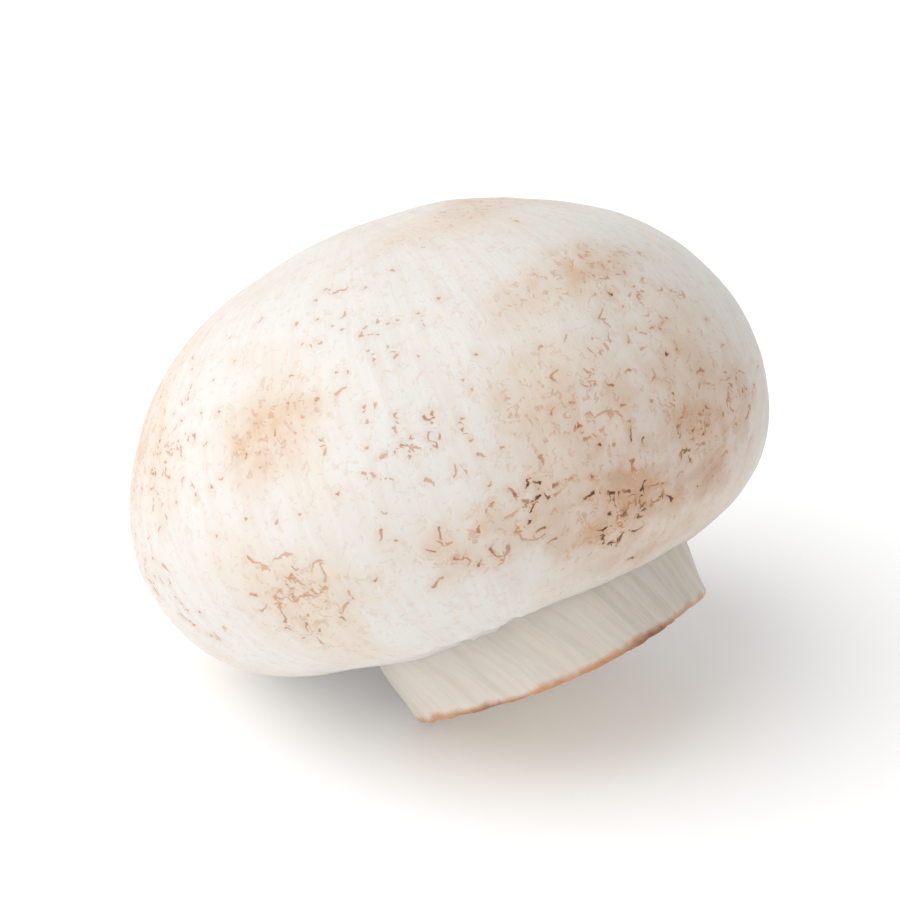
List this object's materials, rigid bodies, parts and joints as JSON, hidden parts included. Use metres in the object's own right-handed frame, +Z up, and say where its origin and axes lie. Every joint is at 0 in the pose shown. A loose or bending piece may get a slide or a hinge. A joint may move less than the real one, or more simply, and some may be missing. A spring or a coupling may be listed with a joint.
{
  "type": "button mushroom",
  "caption": "Closed-cap button mushroom with a short cut stem, lying tipped over on the side of its cap and the edge of its stem.",
  "frame": {"origin": "centre of the bounding box's bottom face, on the surface that the mushroom lies on", "axes": "+Z up; +X to the right and +Y away from a viewer who sees the stem at the lower right and the cap leaning left and back"},
  "size_m": [0.0538, 0.0526, 0.0448],
  "materials": {
    "cap_skin": "matte",
    "stem_flesh": "matte"
  },
  "bodies": {
    "root": {"cap": "cap_skin", "stem": "stem_flesh"}
  },
  "joints": []
}
